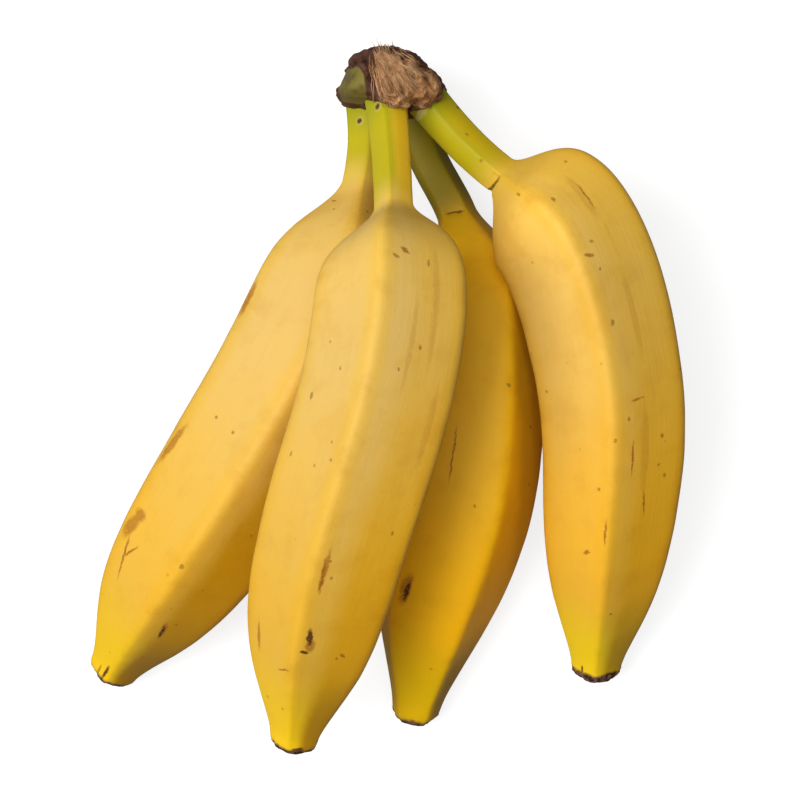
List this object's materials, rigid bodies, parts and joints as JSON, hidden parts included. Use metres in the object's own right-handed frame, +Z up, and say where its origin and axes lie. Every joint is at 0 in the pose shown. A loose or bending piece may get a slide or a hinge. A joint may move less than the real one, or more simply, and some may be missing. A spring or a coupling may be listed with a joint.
{
  "type": "bunch of bananas",
  "caption": "Bunch of short, thick, five-sided yellow bananas on long stalks from one brown cut crown, lying with their backs up.",
  "frame": {"origin": "under the middle of the bunch, on the surface it rests on", "axes": "+Y toward the crown, +X to the right of the bunch seen from above with the crown at the top, +Z up"},
  "size_m": [0.1414, 0.1666, 0.0828],
  "materials": {
    "peel": "satin, waxy banana peel, ripe yellow with green-yellow stalks",
    "cut_stem": "dry, torn, fibrous cut stem"
  },
  "bodies": {
    "root": {"banana_back": "peel", "banana_left": "peel", "banana_front": "peel", "banana_right": "peel", "crown": "cut_stem"}
  },
  "joints": []
}
